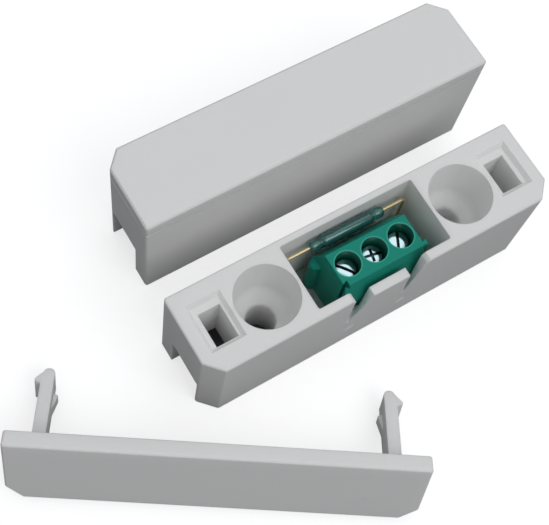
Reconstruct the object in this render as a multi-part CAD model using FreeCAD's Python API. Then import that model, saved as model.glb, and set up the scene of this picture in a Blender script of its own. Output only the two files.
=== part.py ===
import FreeCAD, Part
import math
import os

# Magnetic door contact: an open switch unit, its loose snap cover and a closed magnet unit.
# Millimetres. X runs along the housings, -Y is the side with the cut corners and the cable
# window, +Z is up. The origin is the centre of the switch unit's underside.

os.makedirs("parts", exist_ok=True)

# Housing moulding, used for both units
unit_length = 64.0
unit_width = 14.4
base_height = 20.2
corner_cut_x = 2.6
corner_cut_y = 2.8
edge_radius = 0.45
seam_chamfer = 0.2

# Centre pocket
pocket_length = 24.6
front_wall = 1.6
back_wall = 1.15
pocket_floor = 1.4
pocket_corner_radius = 0.4
ledge_height = 1.3
ledge_width = 1.2
nib_depth = 0.35
nib_height = 0.9
nib_length = 4.0

# Cable window in the front wall: a low centre tab between two notches
window_left = 6.5
window_right = 6.85
window_bevel = 0.6
tab_drop = 2.8
tab_left = 2.55
tab_right = 4.25
tab_draft = 0.35
notch_depth = 10.0
notch_root = 0.25
mark_spacing = 10.2
mark_height = 5.8
mark_radius = 0.95
mark_depth = 0.2
mark_tilt = 14.0

# Screw wells
screw_spacing = 36.2
well_radius = 5.3
well_low_radius = 4.7
well_depth = 8.6
cone_depth = 2.0
screw_hole_radius = 2.5
screw_tube_radius = 4.0
tube_merge = 0.5

# Hook slots, with a sloped lead-in round each mouth
hook_leg_outer = 28.4
slot_outer_clearance = 0.2
slot_width = 3.8
slot_length = 5.8
slot_offset = -0.15
lead_depth = 0.9
lead_out = 1.3
lead_in = 0.9
lead_back = 1.8
lead_front = 0.7
lead_slope = 0.55

# Hook-release notches and the cored underside
notch_height = 8.3
end_notch_front = 3.2
end_notch_back = 3.55
core_wall = 1.5
end_wall = 2.4

# Snap cover and its barbed legs
cover_thickness = 2.8
cover_seat_gap = 0.05
cover_chamfer = 0.3
leg_thickness = 2.1
leg_width = 4.5
leg_offset = 0.35
leg_length = 14.9
barb_height = 0.9
barb_land = 0.5
catch_slope = 0.3
catch_clearance = 0.1
tip_rise = 0.9
tip_point = 0.95
tip_corner_in = 0.3
tip_corner_rise = 0.7
bump_start = 8.8
bump_end = 11.6
bump_height = 0.7
bump_run_out = 0.3
bump_width = 1.9

# Circuit board
board_thickness = 1.6
board_clearance = 0.2
nib_clearance = 0.05

# Terminal block
terminal_count = 3
terminal_pitch = 5.0
terminal_centre = 1.3
block_height = 14.0
block_front_clearance = 0.2
block_depth = 9.6
block_shoulder = 9.2
top_front_set = 1.3
top_flat = 6.0
screw_line_set = 4.5
access_radius = 2.13
access_depth = 3.8
plate_thickness = 0.6
plate_hole_radius = 1.4
chamber_width = 3.8
chamber_front = 2.2
chamber_back = 3.2
entry_width = 4.0
entry_height = 3.6
entry_floor = 1.1
entry_taper = 0.45
groove_set = 1.65
groove_neck = 0.6
groove_wide = 1.2
groove_depth = 0.8
groove_length = 6.2
groove_clearance = 0.1
rib_radius = 1.2
rib_length = 8.8
rib_foot = 0.4
rib_chamfer = 0.4

# Clamp screws, cages and contact pins
head_radius = 1.8
head_height = 1.5
head_chamfer = 0.3
head_clearance = 0.05
shank_radius = 1.2
thread_pitch = 0.45
thread_clearance = 0.05
clamp_turns = 5
driver_slot = 0.5
driver_slot_depth = 0.8
cross_slot_length = 2.3
slot_angles = (-52.0, -11.0, 62.0)
cross_screw = 1
cage_width = 3.6
cage_length = 3.6
cage_side = 0.5
cage_bottom = 0.7
cage_nut = 2.0
cage_top_gap = 0.25
wire_gap = 2.4
strip_thickness = 0.8
strip_width = 2.3
strip_clearance = 0.2
tip_clearance = 0.1
pin_width = 1.0
pin_thickness = 0.8
pin_hole_radius = 0.7

# Reed switch
reed_length = 14.0
reed_radius = 1.1
reed_seal_radius = 0.95
reed_seal_length = 2.1
reed_neck = 0.15
reed_cap = 0.45
reed_end_radius = 0.7
reed_wall = 0.3
reed_wall_gap = 0.15
reed_height = 16.3
lead_radius = 0.28
lead_wall_gap = 0.72
lead_bend = 0.8
lead_hole_radius = 0.4
blade_thickness = 0.22
blade_width = 1.2
blade_gap = 0.15
blade_overlap = 1.2
blade_end_gap = 0.1
blade_root = 0.5

# Solder joints
solder_radius = 0.9
solder_tip_radius = 0.6
solder_height = 0.7
pin_stick_out = 0.9

# Magnet and its carrier
magnet_length = 22.0
magnet_width = 6.0
magnet_height = 8.0
magnet_clearance = 0.1
carrier_top_gap = 0.3
carrier_wall = 1.3
carrier_deck = 1.2

# Where the magnet unit and the loose cover lie
magnet_unit_x = 2.6
magnet_unit_y = 24.3
cover_middle_x = -38.3
cover_middle_y = -20.9
cover_yaw = -33.3

# Sizes that follow from the ones above
half_length = unit_length / 2
half_width = unit_width / 2
pocket_front = -half_width + front_wall
pocket_back = half_width - back_wall
pocket_end = pocket_length / 2
ledge_top = pocket_floor + ledge_height
board_top = ledge_top + board_thickness
slot_outer = hook_leg_outer + slot_outer_clearance
slot_inner = slot_outer - slot_width
slot_front = slot_offset - slot_length / 2
slot_back = slot_offset + slot_length / 2
well_floor = base_height - well_depth - cone_depth
catch_length = base_height - notch_height + catch_clearance
cover_low = base_height + cover_seat_gap
cover_top = cover_low + cover_thickness
block_front = pocket_front + block_front_clearance
block_back = block_front + block_depth
block_top = board_top + block_height
block_length = terminal_count * terminal_pitch
block_left = terminal_centre - block_length / 2
block_right = terminal_centre + block_length / 2
screw_y = block_front + screw_line_set
head_seat = block_top - access_depth
shank_top = head_seat + head_clearance
plate_low = head_seat - plate_thickness
clamp_travel = clamp_turns * thread_pitch
nut_top = plate_low - cage_top_gap - clamp_travel
nut_low = nut_top - cage_nut
strip_top = nut_low - strip_clearance
strip_low = strip_top - strip_thickness
cage_floor = strip_low - wire_gap
chamber_front_y = screw_y - chamber_front
chamber_back_y = screw_y + chamber_back
cage_back_y = screw_y + cage_length / 2
cage_front_y = screw_y - cage_length / 2
pin_y = chamber_back_y - pin_thickness / 2
pin_low = ledge_top - pin_stick_out
reed_y = pocket_back - reed_wall_gap - reed_radius
lead_reach = pocket_end - lead_wall_gap - lead_radius
carrier_top = cover_low - carrier_top_gap
magnet_floor = carrier_top - magnet_height - magnet_clearance
leg_low = half_width + leg_offset - leg_width / 2
reed_room = reed_length / 2 - reed_seal_length - reed_cap

# Overshoot of the cutting shapes
reach = 1.0
nudge = 0.1

POLES = [block_left + terminal_pitch * (i + 0.5) for i in range(terminal_count)]
SIDES = (-1, 1)
X_AXIS = FreeCAD.Vector(1, 0, 0)
Y_AXIS = FreeCAD.Vector(0, 1, 0)
Z_AXIS = FreeCAD.Vector(0, 0, 1)


def vec(x, y, z):
    return FreeCAD.Vector(x, y, z)


def box(x0, x1, y0, y1, z0, z1):
    """Box between two corners, given in any order along X."""
    low = min(x0, x1)
    return Part.makeBox(abs(x1 - x0), y1 - y0, z1 - z0, vec(low, y0, z0))


def rod(radius, x, y, z0, z1):
    """Upright cylinder."""
    return Part.makeCylinder(radius, z1 - z0, vec(x, y, z0), Z_AXIS)


def face_of(points):
    return Part.Face(Part.makePolygon(points + [points[0]]))


def prism_up(points, z0, z1):
    """Outline of (x, y) points, from z0 to z1."""
    return face_of([vec(x, y, z0) for x, y in points]).extrude(vec(0, 0, z1 - z0))


def prism_along(points, x0, x1):
    """Section of (y, z) points, from x0 to x1."""
    return face_of([vec(x0, y, z) for y, z in points]).extrude(vec(x1 - x0, 0, 0))


def prism_across(points, y0, y1):
    """Section of (x, z) points, from y0 to y1."""
    return face_of([vec(x, y0, z) for x, z in points]).extrude(vec(0, y1 - y0, 0))


def edges_along(shape, axis):
    """Straight edges that run along an axis."""
    found = []
    for edge in shape.Edges:
        if isinstance(edge.Curve, Part.Line) and abs(edge.Curve.Direction.dot(axis)) > 0.9999:
            found.append(edge)
    return found


def edges_at_height(shape, z):
    """Edges that lie wholly at one height."""
    found = []
    for edge in shape.Edges:
        if max(abs(edge.BoundBox.ZMin - z), abs(edge.BoundBox.ZMax - z)) < 1e-4:
            found.append(edge)
    return found


def mirrored(shape, side):
    """The shape itself for the +X side, or its mirror image for the -X side."""
    if side > 0:
        return shape
    return shape.mirror(vec(0, 0, 0), X_AXIS)


def unit_outline(inset):
    """Plan of the housing with its two cut corners, moved in by inset."""
    run = math.hypot(corner_cut_x, corner_cut_y)
    x = half_length - inset
    y = half_width - inset
    side_y = -half_width + corner_cut_y + inset * (run - corner_cut_y) / corner_cut_x
    front_x = half_length - corner_cut_x + inset * (corner_cut_x - run) / corner_cut_y
    return [(x, y), (-x, y), (-x, side_y), (-front_x, -y), (front_x, -y), (x, side_y)]


def unit_block(z0, z1):
    """Solid of the housing's outline with rounded upright edges."""
    block = prism_up(unit_outline(0.0), z0, z1)
    return block.makeFillet(edge_radius, edges_along(block, Z_AXIS))


def centre_pocket():
    pocket = box(-pocket_end, pocket_end, pocket_front, pocket_back, pocket_floor, base_height + reach)
    return pocket.makeFillet(pocket_corner_radius, edges_along(pocket, Z_AXIS))


def board_ledges():
    """Ledges at the pocket's ends that carry the board, and the nibs that hold it down."""
    front = pocket_front - reach / 2
    back = reed_y - solder_radius - board_clearance
    low = pocket_floor - reach / 2
    nib_low = board_top + nib_clearance
    wall = pocket_end + reach / 2
    pieces = []
    for side in SIDES:
        inner = side * (pocket_end - ledge_width)
        pieces.append(box(inner, side * wall, front, back, low, ledge_top))
        section = [
            (side * wall, nib_low),
            (side * (pocket_end - nib_depth), nib_low),
            (side * pocket_end, nib_low + nib_height),
            (side * wall, nib_low + nib_height),
        ]
        pieces.append(prism_across(section, -nib_length / 2, nib_length / 2))
    return pieces


def window_section(y, left_root, right_root):
    """Outline of the cable window across the front wall, with each notch's floor up to a given X."""
    top = base_height + reach
    tab_top = base_height - tab_drop
    bottom = base_height - notch_depth
    bevel_low = base_height - window_bevel
    section = [
        (-window_left - window_bevel, top),
        (-window_left - window_bevel, base_height),
        (-window_left, bevel_low),
        (-window_left, bottom),
        (left_root, bottom),
        (-tab_left, tab_top),
        (tab_right, tab_top),
        (tab_right, bottom),
        (right_root, bottom),
        (window_right, bevel_low),
        (window_right + window_bevel, base_height),
        (window_right + window_bevel, top),
    ]
    return Part.makePolygon([vec(x, y, z) for x, z in section + [section[0]]])


def cable_window():
    """Window over the tab, with a notch on each side: a V at the wall's front, square at its back."""
    front = window_section(-half_width - nudge, -window_left + notch_root, tab_right + notch_root)
    back = window_section(pocket_front + nudge, -tab_left - tab_draft, window_right - nudge)
    return Part.makeLoft([front, back], True, True)


def wall_marks():
    """Two shallow round flats low on the front wall, tilted a little upwards."""
    tilt = math.radians(mark_tilt)
    outwards = vec(0, -math.cos(tilt), math.sin(tilt))
    marks = []
    for side in SIDES:
        middle = vec(side * mark_spacing / 2, -half_width + mark_depth, mark_height)
        marks.append(Part.makeCylinder(mark_radius, reach, middle, outwards))
    return marks


def screw_well(x):
    """Funnel-shaped well for one fixing screw, with its hole down to the underside."""
    top = base_height + reach
    flare = (well_radius - well_low_radius) / well_depth * reach
    section = [
        vec(0, 0, -reach),
        vec(screw_hole_radius, 0, -reach),
        vec(screw_hole_radius, 0, well_floor),
        vec(well_low_radius, 0, well_floor + cone_depth),
        vec(well_radius + flare, 0, top),
        vec(0, 0, top),
    ]
    well = face_of(section).revolve(vec(0, 0, 0), Z_AXIS, 360)
    well.translate(vec(x, 0, 0))
    return well


def ring_wire(x0, x1, y0, y1, z):
    corners = [vec(x0, y0, z), vec(x1, y0, z), vec(x1, y1, z), vec(x0, y1, z)]
    return Part.makePolygon(corners + [corners[0]])


def hook_slot(side):
    """Slot for one cover leg, from the top face into the cored underside."""
    slot = box(slot_inner, slot_outer, slot_front, slot_back, notch_height - reach, base_height + reach)
    grow = lead_slope * (1 + reach / lead_depth)
    x0 = slot_inner - lead_in + lead_slope
    x1 = slot_outer + lead_out - lead_slope
    y0 = slot_front - lead_front + lead_slope
    y1 = slot_back + lead_back - lead_slope
    low = ring_wire(x0, x1, y0, y1, base_height - lead_depth)
    high = ring_wire(x0 - grow, x1 + grow, y0 - grow, y1 + grow, base_height + reach)
    lead = Part.makeLoft([low, high], True, True)
    return mirrored(slot.fuse(lead), side)


def underside_core(side):
    """Cored space under one well, with the screw tube left standing."""
    inner = screw_spacing / 2 - screw_tube_radius + tube_merge
    room = prism_up(unit_outline(core_wall), -reach, notch_height)
    core = room.common(box(inner, half_length - end_wall, -half_width, half_width, -reach, notch_height))
    core = core.cut(rod(screw_tube_radius, screw_spacing / 2, 0, -2 * reach, notch_height + reach))
    return mirrored(core, side)


def end_notch(side):
    """Notch in the end wall that lets the hook be pressed back."""
    notch = box(slot_inner, half_length + reach, -half_width + end_notch_front,
                half_width - end_notch_back, -reach, notch_height)
    return mirrored(notch, side)


def housing():
    """One unit's base, seen as the switch unit stands."""
    body = unit_block(0.0, base_height)
    body = body.makeChamfer(seam_chamfer, edges_at_height(body, base_height))
    cuts = [centre_pocket(), cable_window()] + wall_marks()
    for side in SIDES:
        cuts.append(screw_well(side * screw_spacing / 2))
        cuts.append(hook_slot(side))
        cuts.append(underside_core(side))
        cuts.append(end_notch(side))
    body = body.cut(cuts)
    return body.fuse(board_ledges()).removeSplitter()


def leg_section():
    """Outline of one barbed leg in X and Z, hanging from the cover."""
    inner = hook_leg_outer - leg_thickness
    tip = cover_low - leg_length
    catch = cover_low - catch_length
    barb = hook_leg_outer + barb_height
    left = vec(inner, 0, tip + tip_rise)
    middle = vec(inner + tip_point, 0, tip)
    right = vec(hook_leg_outer - tip_corner_in, 0, tip + tip_corner_rise)
    outline = [
        Part.LineSegment(vec(inner, 0, cover_low + reach), left),
        Part.Arc(left, middle, right),
        Part.LineSegment(right, vec(barb, 0, catch - catch_slope - barb_land)),
        Part.LineSegment(vec(barb, 0, catch - catch_slope - barb_land), vec(barb, 0, catch - catch_slope)),
        Part.LineSegment(vec(barb, 0, catch - catch_slope), vec(hook_leg_outer, 0, catch)),
        Part.LineSegment(vec(hook_leg_outer, 0, catch), vec(hook_leg_outer, 0, cover_low + reach)),
        Part.LineSegment(vec(hook_leg_outer, 0, cover_low + reach), vec(inner, 0, cover_low + reach)),
    ]
    return Part.Wire([piece.toShape() for piece in outline])


def cover_leg(side):
    front = leg_offset - leg_width / 2
    leg = Part.Face(leg_section()).extrude(vec(0, leg_width, 0))
    leg.translate(vec(0, front, 0))
    inner = hook_leg_outer - leg_thickness
    bump = [
        (inner, cover_low - bump_start),
        (inner - bump_height, cover_low - bump_end),
        (inner, cover_low - bump_end - bump_run_out),
    ]
    leg = leg.fuse(prism_across(bump, front, front + bump_width))
    return mirrored(leg, side)


def snap_cover():
    """Cover as it sits on the base."""
    plate = unit_block(cover_low, cover_top)
    plate = plate.makeChamfer(cover_chamfer, edges_at_height(plate, cover_top))
    plate = plate.makeChamfer(seam_chamfer, edges_at_height(plate, cover_low))
    return plate.fuse([cover_leg(side) for side in SIDES]).removeSplitter()


def loose_cover():
    """Cover taken off: it stands on its cut-corner edge and leans back on its leg tips."""
    lean = math.degrees(math.atan2(leg_low, leg_length + seam_chamfer))
    cover = snap_cover()
    cover.translate(vec(0, half_width, -cover_top))
    cover.rotate(vec(0, 0, 0), X_AXIS, 90 - lean)
    cover.rotate(vec(0, 0, 0), Z_AXIS, cover_yaw)
    cover.translate(vec(cover_middle_x, cover_middle_y, -cover.optimalBoundingBox().ZMin))
    return cover


def to_magnet_unit(shape):
    """From the switch unit's place to the magnet unit's, turned half a turn."""
    shape.rotate(vec(0, 0, 0), Z_AXIS, 180)
    shape.translate(vec(magnet_unit_x, magnet_unit_y, 0))
    return shape


def circuit_board():
    end = pocket_end - board_clearance
    front = pocket_front + board_clearance
    back = pocket_back - board_clearance
    board = box(-end, end, front, back, ledge_top, board_top)
    low = ledge_top - reach
    high = board_top + reach
    holes = [rod(pin_hole_radius, x, pin_y, low, high) for x in POLES]
    holes += [rod(lead_hole_radius, side * lead_reach, reed_y, low, high) for side in SIDES]
    return board.cut(holes)


def block_body():
    """Block without its chambers: sloped front and back, flat top."""
    shoulder = board_top + block_shoulder
    section = [
        (block_front, board_top),
        (block_front, shoulder),
        (block_front + top_front_set, block_top),
        (block_front + top_front_set + top_flat, block_top),
        (block_back, shoulder),
        (block_back, board_top),
    ]
    return prism_along(section, block_left, block_right)


def pole_chamber(x):
    """Room for one clamp: the screw's access hole, the cage's chamber and the wire entry."""
    access = rod(access_radius, x, screw_y, head_seat, block_top + reach)
    neck = rod(plate_hole_radius, x, screw_y, plate_low - reach, block_top)
    half = chamber_width / 2
    chamber = box(x - half, x + half, chamber_front_y, chamber_back_y, board_top - reach, plate_low)
    low = board_top + entry_floor
    mouth = entry_wire(x, block_front, entry_width, low, low + entry_height)
    throat = entry_wire(x, chamber_front_y + nudge, entry_width - 2 * entry_taper,
                        low + entry_taper / 2, low + entry_height - entry_taper)
    return [access, neck, chamber, Part.makeLoft([mouth, throat], True, True)]


def entry_wire(x, y, width, z0, z1):
    half = width / 2
    corners = [vec(x - half, y, z0), vec(x + half, y, z0), vec(x + half, y, z1), vec(x - half, y, z1)]
    return Part.makePolygon(corners + [corners[0]])


def dovetail(x, neck, wide, depth, z0, z1):
    """Dovetail along Z that starts at x and widens inwards, towards +X."""
    y = block_front + groove_set
    section = [(x, y - neck / 2), (x + depth, y - wide / 2), (x + depth, y + wide / 2), (x, y + neck / 2)]
    return prism_up(section, z0, z1)


def end_rib():
    """Half-round upright rib on the block's left end."""
    y = block_back - rib_radius
    low = board_top + rib_foot
    rib = rod(rib_radius, block_left, y, low, low + rib_length)
    rib = rib.makeChamfer(rib_chamfer, edges_at_height(rib, low + rib_length))
    wide = 2 * rib_radius
    inner_half = box(block_left + reach / 2, block_left + wide, y - wide, y + wide, low - reach, block_top)
    return rib.cut(inner_half)


def terminal_body():
    body = block_body()
    groove_low = block_top - groove_length
    cuts = [dovetail(block_left, groove_neck, groove_wide, groove_depth, groove_low, block_top + reach)]
    for x in POLES:
        cuts += pole_chamber(x)
    body = body.cut(cuts)
    gap = groove_clearance
    tongue = dovetail(block_right, groove_neck - gap, groove_wide - gap, groove_depth - gap,
                      groove_low + gap, block_top)
    return body.fuse([tongue, end_rib()]).removeSplitter()


def driver_recess(index):
    """Slot across one screw head, with a cross on one of them."""
    top = shank_top + head_height
    low = top - driver_slot_depth
    half = driver_slot / 2
    slot = box(-head_radius - reach, head_radius + reach, -half, half, low, top + reach)
    if index == cross_screw:
        arm = cross_slot_length / 2
        slot = slot.fuse(box(-half, half, -arm, arm, low, top + reach))
    slot.rotate(vec(0, 0, 0), Z_AXIS, slot_angles[index % len(slot_angles)])
    return slot


def clamp_screw(index):
    head = rod(head_radius, 0, 0, shank_top, shank_top + head_height)
    head = head.makeChamfer(head_chamfer, edges_at_height(head, shank_top + head_height))
    shank = rod(shank_radius, 0, 0, strip_top + tip_clearance, shank_top)
    screw = head.fuse(shank).removeSplitter().cut(driver_recess(index))
    screw.translate(vec(POLES[index], screw_y, 0))
    return screw


def clamp_cage(x):
    """Square tube with a threaded top that the screw draws up round the contact strip."""
    half = cage_width / 2
    bottom = cage_floor - cage_bottom
    cage = box(x - half, x + half, cage_front_y, cage_back_y, bottom, nut_top)
    cage = cage.makeFillet(cage_side, edges_along(cage, Y_AXIS))
    inner = half - cage_side
    window = box(x - inner, x + inner, cage_front_y - reach, cage_back_y + reach, cage_floor, nut_low)
    thread = rod(shank_radius + thread_clearance, x, screw_y, nut_low - reach, nut_top + reach)
    return cage.cut([window, thread])


def contact_pin(x):
    """Contact strip through the cage, bent down into one solder pin."""
    half = strip_width / 2
    strip = box(x - half, x + half, cage_front_y, chamber_back_y, strip_low, strip_top)
    half = pin_width / 2
    pin = box(x - half, x + half, chamber_back_y - pin_thickness, chamber_back_y, pin_low, strip_top)
    return strip.fuse(pin).removeSplitter()


def reed_glass():
    """Sealed glass tube: narrower sealed ends and a hollow middle, bored for the two leads."""
    end = reed_length / 2
    seal = end - reed_seal_length
    side = [
        (end, lead_radius),
        (end, reed_end_radius),
        (end - reed_cap, reed_seal_radius),
        (seal + reed_cap, reed_seal_radius),
        (seal, reed_seal_radius - reed_neck),
        (reed_room, reed_radius),
    ]
    points = [vec(-x, 0, r) for x, r in side] + [vec(x, 0, r) for x, r in reversed(side)]
    tube = face_of(points).revolve(vec(0, 0, 0), X_AXIS, 360)
    tube = tube.cut(Part.makeCylinder(reed_radius - reed_wall, 2 * reed_room, vec(-reed_room, 0, 0), X_AXIS))
    tube.translate(vec(0, reed_y, reed_height))
    return tube


def reed_lead():
    """Right-hand lead: up from the board, round the bend and in through the seal."""
    corner = lead_reach - lead_bend
    root = reed_room - blade_root
    upright = rod(lead_radius, lead_reach, reed_y, pin_low, reed_height - lead_bend)
    run = Part.makeCylinder(lead_radius, corner - root, vec(root, reed_y, reed_height), X_AXIS)
    ring = Part.makeCircle(lead_radius, vec(lead_reach, reed_y, reed_height - lead_bend), Z_AXIS)
    disc = Part.Face(Part.Wire([ring]))
    bend = disc.revolve(vec(corner, reed_y, reed_height - lead_bend), vec(0, -1, 0), 90)
    return upright.fuse([bend, run])


def reed_blade(side):
    """Lead and flattened contact blade of one side, the left one above the right one."""
    end = reed_room - blade_end_gap
    lift = -side * (blade_gap + blade_thickness) / 2
    half = blade_width / 2
    low = reed_height + lift - blade_thickness / 2
    blade = box(-blade_overlap / 2, end, reed_y - half, reed_y + half, low, low + blade_thickness)
    return mirrored(reed_lead().fuse(blade).removeSplitter(), side)


def solder_joints(metal):
    """Solder cone round each pin and lead under the board."""
    spots = [(x, pin_y) for x in POLES] + [(side * lead_reach, reed_y) for side in SIDES]
    cones = []
    for x, y in spots:
        low = ledge_top - solder_height
        cone = Part.makeCone(solder_tip_radius, solder_radius, solder_height, vec(x, y, low), Z_AXIS)
        cones.append(cone.cut(metal))
    return Part.makeCompound(cones)


def magnet_bar():
    back = pocket_back - board_clearance - magnet_clearance
    half = magnet_length / 2
    return box(-half, half, back - magnet_width, back, magnet_floor, magnet_floor + magnet_height)


def magnet_carrier():
    """Moulded cradle in the pocket: cored from below, with a trough for the magnet."""
    gap = board_clearance
    back = pocket_back - gap
    end = pocket_end - gap
    front = pocket_front + gap
    carrier = box(-end, end, front, back, ledge_top, carrier_top)
    half = magnet_length / 2 + magnet_clearance
    trough_front = back - magnet_width - 2 * magnet_clearance
    trough = box(-half, half, trough_front, back + reach, magnet_floor, carrier_top + reach)
    cores = []
    for side in SIDES:
        cores.append(box(side * carrier_wall / 2, side * (end - carrier_wall), front + carrier_wall,
                         back - carrier_wall, ledge_top - reach, magnet_floor - carrier_deck))
        nib = box(side * (end - nib_depth), side * (end + reach), -nib_length / 2 - gap,
                  nib_length / 2 + gap, ledge_top - reach, board_top + nib_clearance + nib_height + gap)
        cores.append(nib)
    relief = box(-end + carrier_wall, end - carrier_wall, front + carrier_wall, trough_front - carrier_wall,
                 magnet_floor, carrier_top + reach)
    return carrier.cut([trough, relief] + cores)


def build():
    nodes = {
        "switch_base": housing(),
        "switch_cover": loose_cover(),
        "circuit_board": circuit_board(),
        "terminal_body": terminal_body(),
        "reed_glass": reed_glass(),
        "reed_blade_left": reed_blade(-1),
        "reed_blade_right": reed_blade(1),
        "magnet_base": to_magnet_unit(housing()),
        "magnet_cover": to_magnet_unit(snap_cover()),
        "magnet_carrier": to_magnet_unit(magnet_carrier()),
        "bar_magnet": to_magnet_unit(magnet_bar()),
    }
    metal = [nodes["reed_blade_left"], nodes["reed_blade_right"]]
    for i, x in enumerate(POLES):
        number = i + 1
        nodes[f"terminal_screw_{number}"] = clamp_screw(i)
        nodes[f"terminal_cage_{number}"] = clamp_cage(x)
        nodes[f"terminal_pin_{number}"] = contact_pin(x)
        metal.append(nodes[f"terminal_pin_{number}"])
    nodes["solder_joints"] = solder_joints(metal)
    return nodes


for name, shape in build().items():
    if not shape.isValid():
        print("not valid:", name)
    shape.exportStep(f"parts/{name}.step")
    print(f"{name}: {len(shape.Solids)} solid(s), {shape.Volume:.1f} mm3")
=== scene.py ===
"""Dresses the magnetic door contact: switch unit, loose snap cover and magnet unit."""

import logging
import math
from dataclasses import dataclass, field, replace
from enum import Enum

import bmesh
import bpy
from mathutils import Matrix, Vector


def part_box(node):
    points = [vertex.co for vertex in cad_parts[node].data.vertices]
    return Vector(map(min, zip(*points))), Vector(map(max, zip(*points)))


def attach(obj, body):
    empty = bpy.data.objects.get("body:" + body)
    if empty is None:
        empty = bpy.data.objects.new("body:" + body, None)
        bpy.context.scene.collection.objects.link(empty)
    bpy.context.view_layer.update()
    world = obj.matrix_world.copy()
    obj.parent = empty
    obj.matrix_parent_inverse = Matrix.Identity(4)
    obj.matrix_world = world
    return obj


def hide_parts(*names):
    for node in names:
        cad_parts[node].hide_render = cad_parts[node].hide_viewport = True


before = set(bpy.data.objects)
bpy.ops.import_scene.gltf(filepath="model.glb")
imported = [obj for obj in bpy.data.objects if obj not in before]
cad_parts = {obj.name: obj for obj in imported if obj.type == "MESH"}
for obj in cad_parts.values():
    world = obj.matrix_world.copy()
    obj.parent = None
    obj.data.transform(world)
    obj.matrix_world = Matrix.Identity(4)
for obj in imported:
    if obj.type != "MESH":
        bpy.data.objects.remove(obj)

log = logging.getLogger("door_contact")
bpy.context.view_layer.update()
MM = 0.001
BODY = "contact_set"
MERGE_DISTANCE = 0.002 * MM
FLAT_ANGLE = math.radians(0.6)
FACING_UP = 0.99


class Join(Enum):
    """Ways to combine a piece with another."""

    ADD = "UNION"
    CUT = "DIFFERENCE"


class Socket(Enum):
    """Kinds of value that go in or out of a node group."""

    NUMBER = "NodeSocketFloat"
    COLOUR = "NodeSocketColor"
    VECTOR = "NodeSocketVector"


# Node helpers


def new_group(name: str, inputs: dict, outputs: dict) -> tuple:
    """Makes an empty shader node group.

    Args:
        name: the group's name.
        inputs: input name to its kind and default value.
        outputs: output name to its kind.

    Returns:
        The group, its input node and its output node.
    """
    tree = bpy.data.node_groups.new(name, "ShaderNodeTree")
    for label, (kind, value) in inputs.items():
        socket = tree.interface.new_socket(name=label, in_out="INPUT", socket_type=kind.value)
        socket.default_value = value
    for label, kind in outputs.items():
        tree.interface.new_socket(name=label, in_out="OUTPUT", socket_type=kind.value)
    return tree, tree.nodes.new("NodeGroupInput"), tree.nodes.new("NodeGroupOutput")


def add_node(tree: bpy.types.NodeTree, kind: str, settings: dict | None = None, **links) -> bpy.types.Node:
    """Adds a node with its settings, default values and incoming links.

    Args:
        tree: the node tree.
        kind: the node's type name.
        settings: attribute name to value.
        **links: input name, with spaces as underscores, to a value or an output socket.

    Returns:
        The new node.
    """
    node = tree.nodes.new(kind)
    for key, value in (settings or {}).items():
        setattr(node, key, value)
    for key, value in links.items():
        socket = pick_input(node, key)
        if isinstance(value, bpy.types.NodeSocket):
            tree.links.new(value, socket)
        else:
            socket.default_value = value
    return node


def pick_input(node: bpy.types.Node, key: str) -> bpy.types.NodeSocket:
    """Finds an input of a node.

    Args:
        node: the node.
        key: the input's name with spaces as underscores, or its number as in in_0.

    Returns:
        The input.
    """
    if key.startswith("in_"):
        return node.inputs[int(key[3:])]
    return node.inputs[key.replace("_", " ")]


def in_order(values: tuple) -> dict:
    """Names values after the inputs in_0, in_1 and so on."""
    return {f"in_{i}": value for i, value in enumerate(values)}


def calc(tree: bpy.types.NodeTree, operation: str, *values) -> bpy.types.NodeSocket:
    """Works out a number from numbers or sockets, given in the node's order."""
    return add_node(tree, "ShaderNodeMath", {"operation": operation}, **in_order(values)).outputs[0]


def calc_vector(tree: bpy.types.NodeTree, operation: str, *values) -> bpy.types.NodeSocket:
    """Works out a vector, or a number where the operation measures, from vectors in the node's order."""
    node = add_node(tree, "ShaderNodeVectorMath", {"operation": operation}, **in_order(values))
    return node.outputs["Value" if operation in ("LENGTH", "DOT_PRODUCT") else "Vector"]


def ramp(tree: bpy.types.NodeTree, value: bpy.types.NodeSocket, start: float, end: float,
         settings: dict | None = None) -> bpy.types.NodeSocket:
    """Maps a value to 0 at the start, 1 at the end, and evenly or as the settings say between them."""
    node = add_node(tree, "ShaderNodeMapRange", settings, Value=value, From_Min=start, From_Max=end)
    return node.outputs[0]


def blend(tree: bpy.types.NodeTree, share: bpy.types.NodeSocket, first: bpy.types.NodeSocket,
          second: bpy.types.NodeSocket | tuple) -> bpy.types.NodeSocket:
    """Mixes two colours: the first where the share is 0, the second where it is 1."""
    node = add_node(tree, "ShaderNodeMix", {"data_type": "RGBA"}, in_0=share, in_6=first, in_7=second)
    return node.outputs[2]


def opaque(colour: tuple) -> tuple:
    """Gives a colour its fourth number, full cover."""
    return (*colour, 1.0)


def object_place(tree: bpy.types.NodeTree) -> bpy.types.NodeSocket:
    """Gives each point's place on its own piece."""
    return add_node(tree, "ShaderNodeTexCoord").outputs["Object"]


def add_group(tree: bpy.types.NodeTree, group: bpy.types.NodeTree, **links) -> bpy.types.Node:
    """Adds a shared node group with its own values."""
    return add_node(tree, "ShaderNodeGroup", {"node_tree": group}, **links)


def put_out(tree: bpy.types.NodeTree, sink: bpy.types.Node, results: dict) -> None:
    """Links results to a group's outputs by name."""
    for label, result in results.items():
        tree.links.new(result, sink.inputs[label])


def clear_tree(owner: bpy.types.Material | bpy.types.World) -> bpy.types.NodeTree:
    """Turns a material's or world's nodes on and empties them.

    Args:
        owner: the material or world.

    Returns:
        Its empty node tree.
    """
    owner.use_nodes = True
    owner.node_tree.nodes.clear()
    return owner.node_tree


# Shared effects


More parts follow.
